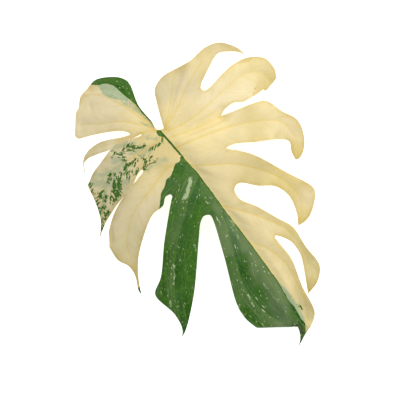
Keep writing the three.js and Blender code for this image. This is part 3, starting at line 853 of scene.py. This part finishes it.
# %% Signals
class Signal:
    """A number that varies over a surface."""

    def __init__(self, finish, socket):
        self.finish = finish
        self.socket = socket

    def math(self, operation, first, second=0.0):
        return self.finish.node("ShaderNodeMath", {"operation": operation}, {0: first, 1: second})

    def __add__(self, other):
        return self.math("ADD", self, other)

    def __radd__(self, other):
        return self.math("ADD", other, self)

    def __sub__(self, other):
        return self.math("SUBTRACT", self, other)

    def __rsub__(self, other):
        return self.math("SUBTRACT", other, self)

    def __mul__(self, other):
        return self.math("MULTIPLY", self, other)

    def __rmul__(self, other):
        return self.math("MULTIPLY", other, self)

    def __pow__(self, other):
        return self.math("POWER", self, other)

    def __abs__(self):
        return self.math("ABSOLUTE", self)

    def wave(self, spacing):
        """A wave from 0 to 1 that repeats at a spacing."""
        return 0.5 + 0.5 * self.math("COSINE", self * (2 * math.pi / spacing))

    def step(self, start, stop):
        """0 before start and 1 after stop, smooth between."""
        values = {"Value": self, "From Min": start, "From Max": stop}
        return self.finish.node("ShaderNodeMapRange", {"interpolation_type": "SMOOTHSTEP"}, values)


# %% Finishes
class Finish:
    """A material in the making."""

    def __init__(self, name):
        self.material = bpy.data.materials.new(name)
        self.material.use_nodes = True
        self.tree = Tree(self.material.node_tree)
        self.shader = self.material.node_tree.nodes["Principled BSDF"]

    def node(self, kind, settings=None, inputs=None, output=0):
        plain = {key: getattr(value, "socket", value) for key, value in (inputs or {}).items()}
        return Signal(self, self.tree.add(kind, settings, plain, output))

    def measure(self, name, output="Fac"):
        """A measure stored on the mesh: Fac for a number, Color or Vector for the others."""
        return self.node("ShaderNodeAttribute", {"attribute_name": name}, {}, output)

    def stretched(self, vector, scales):
        return self.node("ShaderNodeVectorMath", {"operation": "MULTIPLY"}, {0: vector, 1: scales})

    def noise(self, vector, size, detail=3.0, roughness=0.5):
        """Noise about 0.5 whose features are about one size, in the vector's units."""
        values = {"Vector": vector, "Scale": 1 / size, "Detail": detail, "Roughness": roughness}
        return self.node("ShaderNodeTexNoise", {}, values)

    def beside(self, signal, name):
        """Another output of the node that a signal comes from."""
        return Signal(self, signal.socket.node.outputs[name])

    def larger(self, first, second):
        return self.node("ShaderNodeMath", {"operation": "MAXIMUM"}, {0: first, 1: second})

    def mix(self, share, first, second, blend="MIX"):
        """From the first colour to the second."""
        settings = {"data_type": "RGBA", "blend_type": blend}
        return self.node("ShaderNodeMix", settings, {0: share, 6: first, 7: second}, 2)

    def set(self, **values):
        """Values or links of the shader's own inputs, with spaces written as underscores."""
        for name, value in values.items():
            socket = self.shader.inputs[name.replace("_", " ")]
            if isinstance(value, Signal):
                self.material.node_tree.links.new(value.socket, socket)
            else:
                socket.default_value = value

    def bump(self, height, distance, strength=1.0):
        values = {"Height": height, "Distance": distance, "Strength": strength}
        return self.node("ShaderNodeBump", {}, values)


def colour(red, green, blue):
    return (red, green, blue, 1.0)


# %% [markdown]
# ## The skin of the leaf
#
# The upper skin is one material. Cream is the ground: its tone, partly painted light and shade, is
# read from the mesh, then mottled and faintly fibred, stained along the veins and the margin, and
# clouded by the washes. Green is cut in where the stored distance, roughened by noise drawn out
# along the grain, is above zero. It has tones of its own, some of them painted sheen and shade,
# speckles and drawn lines, and beside each vein it has a painted sheen on one side and painted
# shade on the other, where the blade leans away from the light. Pale streaks and slim flecks lie on
# the green.
# The surface is waxy, so it has a soft gloss that breaks up over the fine cells.

# %% Colours of the leaf
WASH_GREEN = colour(0.34, 0.39, 0.225)
BLUE_WASH = colour(0.34, 0.43, 0.25)
PALE_STREAK = colour(0.40, 0.48, 0.26)
FLECK = colour(0.62, 0.66, 0.38)
VEIN_STAIN = colour(0.98, 0.91, 0.60)
MARGIN_STAIN = colour(0.88, 0.83, 0.66)
FRESH_GREEN = colour(0.085, 0.20, 0.012)
CLEAR_GREEN = colour(0.034, 0.115, 0.006)
# painted sheen, for the side of a vein that leans towards the light
PAINTED_SHEEN_GREEN = colour(0.150, 0.205, 0.095)
# painted shade, multiplied in on the side of a vein that leans away from the light
PAINTED_SHADE_GREEN = colour(0.70, 0.84, 0.90)
SHADED_GREEN = colour(0.72, 0.82, 0.80)
SHADED_CREAM = colour(0.92, 0.91, 0.87)


# %% Masks that both faces share
FLECK_BORDER = 0.2  # mm over which a fleck fades


def flecks_over(skin, grain, spacing, largest):
    """Rare slim flecks, at most one to a cell of the spacing, few of them near the largest size."""
    cells = skin.node("ShaderNodeTexVoronoi", {"feature": "F1"}, {"Vector": grain, "Scale": 1 / spacing})
    chance = skin.node("ShaderNodeSeparateColor", {}, {0: skin.beside(cells, "Color")})
    return (largest / spacing * chance**2 - cells).step(0.0, FLECK_BORDER / spacing)


def variegation(skin):
    """Masks for green, three washes, pale streaks and flecks, with ragged borders."""
    grain = skin.measure("grain", "Vector")
    branches = skin.measure("branch grain", "Vector")
    drawn_out = skin.stretched(grain, (1.0, 0.4, 1.0))
    slim = skin.stretched(grain, (1.0, 0.2, 1.0))
    ragged = skin.noise(drawn_out, 2.4, roughness=0.65) - 0.5
    torn = skin.noise(skin.stretched(grain, (1.0, 0.25, 1.0)), 1.1, roughness=0.7) - 0.5
    lace = skin.noise(skin.stretched(branches, (1.0, 0.33, 1.0)), 1.5, detail=2, roughness=0.6) - 0.5
    cloud = skin.noise(skin.stretched(branches, (1.0, 0.4, 1.0)), 3.0, detail=4, roughness=0.7) - 0.5
    sector = (skin.measure("green") + 1.8 * ragged).step(-0.15, 0.15)
    marble = (skin.measure("marble") + 13 * lace + 0.4).step(-0.3, 0.6)
    washes = {
        "wash": (skin.measure("wash") + 14 * cloud).step(-1.5, 2.5),
        "pale wash": (skin.measure("pale wash") + 3 * ragged).step(-0.5, 0.7),
        "blue wash": (skin.measure("blue wash") + 3 * ragged).step(-0.5, 0.7),
    }
    pale = (skin.measure("pale") + 7 * torn - 0.2).step(-0.2, 0.6)
    flecks = skin.larger(flecks_over(skin, drawn_out, 1.6, 0.5), flecks_over(skin, slim, 3.2, 0.7))
    return skin.larger(sector, marble), washes, pale, flecks


# %% Cream
def cream_ground(skin, washes, mottle, speckle, off_vein):
    """The cream tissue, with the washes over it."""
    branches = skin.measure("branch grain", "Vector")
    on_vein = (1 - off_vein.step(0.2, 1.6)) * skin.measure("vein strength")
    side_veins = skin.node("ShaderNodeSeparateXYZ", {}, {0: branches})
    on_side_vein = side_veins.wave(PLEAT_SPACING) ** 16 * (1 - off_vein.step(4, 16))
    fibres = skin.noise(skin.stretched(branches, (1.0, 0.12, 1.0)), 1.7)
    margin = skin.measure("margin")
    rim = 0.55 * (1 - margin.step(0.5, 4)) + 0.45 * (1 - margin.step(2, 10))

    cream = skin.measure("cream tone", "Color")
    cream = skin.mix(0.5 * mottle.step(0.35, 0.7), cream, SHADED_CREAM, "MULTIPLY")
    cream = skin.mix(0.5 * fibres.step(0.4, 0.7), cream, SHADED_CREAM, "MULTIPLY")
    cream = skin.mix(on_vein, cream, VEIN_STAIN, "MULTIPLY")
    cream = skin.mix(0.35 * on_side_vein, cream, VEIN_STAIN, "MULTIPLY")
    cream = skin.mix(rim * mottle.step(0.2, 0.6), cream, MARGIN_STAIN, "MULTIPLY")
    cream = skin.mix(0.68 * washes["wash"], cream, WASH_GREEN)
    cream = skin.mix((0.4 + 0.5 * speckle.step(0.4, 0.65)) * washes["pale wash"], cream, WASH_GREEN)
    return skin.mix((0.7 + 0.3 * speckle.step(0.4, 0.6)) * washes["blue wash"], cream, BLUE_WASH)


# %% Leaf green
def green_tissue(skin, pale, flecks, mottle, speckle, across_vein):
    """The green tissue, with painted sheen on one side of its veins and painted shade on the other, with
    streaks and flecks on it.
    """
    grain = skin.measure("grain", "Vector")
    off_vein = abs(across_vein)
    drawn_lines = skin.noise(skin.stretched(grain, (1.0, 0.06, 1.0)), 1.3, roughness=0.6)
    hairs = skin.noise(skin.stretched(grain, (1.0, 0.03, 1.0)), 0.9, detail=2)
    shaded_side = across_vein.step(-0.5, 0.5)
    near_vein = 1 - off_vein.step(3, 13)
    beside_vein = (1 - abs(across_vein + 1.3).step(0.2, 1.0)) * skin.measure("vein strength")
    beside_midrib = (1 - skin.measure("green").step(0.6, 1.6)) * (1 - off_vein.step(6, 9))

    green = skin.measure("green tone", "Color")
    green = skin.mix(mottle.step(0.35, 0.7), green, SHADED_GREEN, "MULTIPLY")
    green = skin.mix(0.75 * speckle.step(0.47, 0.66), green, FRESH_GREEN)
    green = skin.mix(0.45 * drawn_lines.step(0.45, 0.7), green, SHADED_GREEN, "MULTIPLY")
    green = skin.mix(0.16 * hairs.step(0.55, 0.7), green, PALE_STREAK)
    # painted sheen on the side of each vein that faces the light, painted shade on the side that leans away
    green = skin.mix(0.18 * (1 - shaded_side) * near_vein, green, PAINTED_SHEEN_GREEN)
    green = skin.mix(0.8 * shaded_side * near_vein, green, PAINTED_SHADE_GREEN, "MULTIPLY")
    green = skin.mix(0.6 * beside_vein, green, FRESH_GREEN)
    green = skin.mix(0.7 * beside_midrib, green, CLEAR_GREEN)
    green = skin.mix(0.9 * pale, green, PALE_STREAK)
    return skin.mix(0.75 * flecks, green, FLECK)


# %% Upper skin
def upper_skin():
    skin = Finish("upper leaf skin")
    sector, washes, pale, flecks = variegation(skin)
    grain = skin.measure("grain", "Vector")
    place = skin.measure("place", "Vector")
    across_vein = skin.node("ShaderNodeSeparateXYZ", {}, {0: grain})
    mottle = skin.noise(place, 14, detail=4)
    speckle = skin.noise(skin.stretched(grain, (1.0, 0.5, 1.0)), 1.7, detail=4, roughness=0.65)
    cream = cream_ground(skin, washes, mottle, speckle, abs(across_vein))
    green = green_tissue(skin, pale, flecks, mottle, speckle, across_vein)
    skin.set(Base_Color=skin.mix(sector, cream, green))

    cell_look = {"Vector": place, "Scale": 1.3}
    cells = skin.node("ShaderNodeTexVoronoi", {"feature": "DISTANCE_TO_EDGE"}, cell_look)
    fine_grain = skin.noise(skin.stretched(grain, (1, 0.2, 1)), 1.6)
    skin.set(Normal=skin.bump(0.3 * cells.step(0.0, 0.12) + fine_grain, 0.00012, strength=0.35))
    skin.set(Roughness=0.42 + 0.16 * mottle, Specular_IOR_Level=0.12)
    return skin.material


# %% Underside
UNDER_CREAM = colour(0.60, 0.52, 0.28)
UNDER_GREEN, UNDER_PALE_GREEN = colour(0.13, 0.24, 0.07), colour(0.20, 0.31, 0.11)


def under_skin():
    """Paler and without gloss, the same pattern showing through."""
    skin = Finish("leaf underside")
    green, washes, pale, flecks = variegation(skin)
    place = skin.measure("place", "Vector")
    mottle = skin.noise(place, 12, detail=4)
    cream = skin.mix(0.45 * mottle, skin.measure("cream tone", "Color"), UNDER_CREAM)
    for wash in washes.values():
        cream = skin.mix(0.5 * wash, cream, WASH_GREEN)
    pale_green = skin.mix(mottle.step(0.3, 0.7), UNDER_GREEN, UNDER_PALE_GREEN)
    pale_green = skin.mix(0.6 * skin.larger(pale, flecks), pale_green, FLECK)
    skin.set(Base_Color=skin.mix(green, cream, pale_green))
    skin.set(Roughness=0.62 + 0.2 * mottle)
    skin.set(Normal=skin.bump(skin.noise(place, 0.9), 0.0001, strength=0.6))
    return skin.material


# %% The thin margin
DRY_EDGE, PALE_DRY_EDGE = colour(0.52, 0.42, 0.15), colour(0.62, 0.50, 0.22)
GREEN_EDGE = colour(0.06, 0.13, 0.02)


def edge_skin():
    """The thin margin, drier and browner than the blade."""
    skin = Finish("leaf margin")
    green = skin.measure("green").step(-0.3, 0.5)
    patch = skin.noise(skin.measure("place", "Vector"), 6)
    dry = skin.mix(patch.step(0.3, 0.7), DRY_EDGE, PALE_DRY_EDGE)
    skin.set(Base_Color=skin.mix(green, dry, GREEN_EDGE))
    skin.set(Roughness=0.6 + 0.15 * patch)
    return skin.material


# %% Ribs and stalk
CREAM_RIB, GREENISH_RIB = colour(0.62, 0.58, 0.30), colour(0.44, 0.46, 0.20)
GREEN_RIB, PALE_GREEN_RIB = colour(0.16, 0.30, 0.07), colour(0.30, 0.42, 0.14)


def rib_skin():
    """Pale and finely lined along their length."""
    skin = Finish("leaf ribs")
    position = skin.node("ShaderNodeTexCoord", {}, {}, "Object")
    lines = skin.noise(skin.stretched(position, (1000, 120, 1000)), 1.2)
    green = skin.measure("green").step(-1.5, 1.5)
    cream_rib = skin.mix(0.5 * lines, CREAM_RIB, GREENISH_RIB)
    green_rib = skin.mix(lines, GREEN_RIB, PALE_GREEN_RIB)
    skin.set(Base_Color=skin.mix(green, cream_rib, green_rib))
    skin.set(Roughness=0.5 + 0.2 * lines)
    skin.set(Normal=skin.bump(lines, 0.0002, strength=0.5))
    return skin.material


# %% Make the leaf
blade = thick_blade([upper_skin(), under_skin(), edge_skin()])
ribs = leaf_ribs(rib_skin())
for piece in (blade, ribs):
    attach(piece, "root")
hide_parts("leaf")
print("pieces:", blade.name, ribs.name)

# %% [markdown]
# ## Floor, light and camera
#
# The leaf is seen from straight above on a pale floor. One large soft light stands to the side
# that the cream lobes face and a weaker one opposite, in a bright room, so the relief shows and
# nothing is lost in shade.

# %% Floor
FLOOR_HALF = 4  # metres
FLOOR_DROP = 0.0002  # keeps the floor and the leaf's lowest points from sharing a plane
FLOOR_GREY, FLOOR_WHITE = colour(0.93, 0.93, 0.93), colour(0.96, 0.96, 0.96)
FLOOR_GLOW = 0.6


def floor_finish():
    finish = Finish("pale floor")
    position = finish.node("ShaderNodeTexCoord", {}, {}, "Object")
    cloud = finish.noise(position, 0.3)
    finish.set(Base_Color=finish.mix(cloud, FLOOR_GREY, FLOOR_WHITE))
    finish.set(Roughness=0.7, Specular_IOR_Level=0.2)
    finish.set(Emission_Color=colour(1.0, 1.0, 1.0), Emission_Strength=FLOOR_GLOW)
    return finish.material


def pale_floor():
    sides = ((-1, -1), (1, -1), (1, 1), (-1, 1))
    corners = [(x * FLOOR_HALF, y * FLOOR_HALF, -FLOOR_DROP) for x, y in sides]
    mesh = bpy.data.meshes.new("floor")
    mesh.from_pydata(corners, [], [(0, 1, 2, 3)])
    mesh.materials.append(floor_finish())
    floor = bpy.data.objects.new("floor", mesh)
    bpy.context.collection.objects.link(floor)


pale_floor()
print("floor, m wide:", 2 * FLOOR_HALF)

# %% Camera
# the way the viewer's right and up lie on the leaf
VIEW_RIGHT = Vector((-0.8058, 0.5923, 0))
VIEW_UP = Vector((-0.5923, -0.8058, 0))
VIEW_CENTRE = Vector((8.4, 80.7, 15))  # in the flat leaf's millimetres
VIEW_WIDTH = 0.400  # metres, as the distances below
VIEW_DISTANCE = 3.0
CLIP_END = 20
turned = Matrix((VIEW_RIGHT, VIEW_UP, VIEW_RIGHT.cross(VIEW_UP))).transposed()


def look_down():
    camera = bpy.data.objects.new("camera", bpy.data.cameras.new("camera"))
    bpy.context.collection.objects.link(camera)
    centre = (VIEW_CENTRE + Vector(SHIFT)) * MM
    camera.matrix_world = Matrix.Translation(centre + Vector((0, 0, VIEW_DISTANCE))) @ turned.to_4x4()
    camera.data.lens = camera.data.sensor_width * VIEW_DISTANCE / VIEW_WIDTH
    camera.data.clip_end = CLIP_END
    bpy.context.scene.camera = camera


look_down()
print("camera above the leaf, m:", VIEW_DISTANCE)


# %% Light
ROOM_TINT = colour(0.95, 0.97, 1.0)
ROOM_STRENGTH = 0.72


def soft_light(name, side, rise, height, width, power):
    """A square light beyond one side of the view, aimed at the leaf."""
    light = bpy.data.lights.new(name, "AREA")
    light.size = width
    light.energy = power
    lamp = bpy.data.objects.new(name, light)
    bpy.context.collection.objects.link(lamp)
    place = turned @ Vector((side, rise, height))
    lamp.location = place
    lamp.rotation_mode = "QUATERNION"
    lamp.rotation_quaternion = (-place).to_track_quat("-Z", "Y")
    lamp.visible_camera = False


soft_light("main light", side=1.1, rise=1.3, height=1.9, width=2.0, power=34)
soft_light("fill light", side=-1.6, rise=-0.6, height=1.5, width=1.6, power=5)
world = bpy.data.worlds.new("bright room")
world.use_nodes = True
room = world.node_tree.nodes["Background"].inputs
room["Color"].default_value = ROOM_TINT
room["Strength"].default_value = ROOM_STRENGTH
bpy.context.scene.world = world
bpy.context.scene.view_settings.view_transform = "Standard"
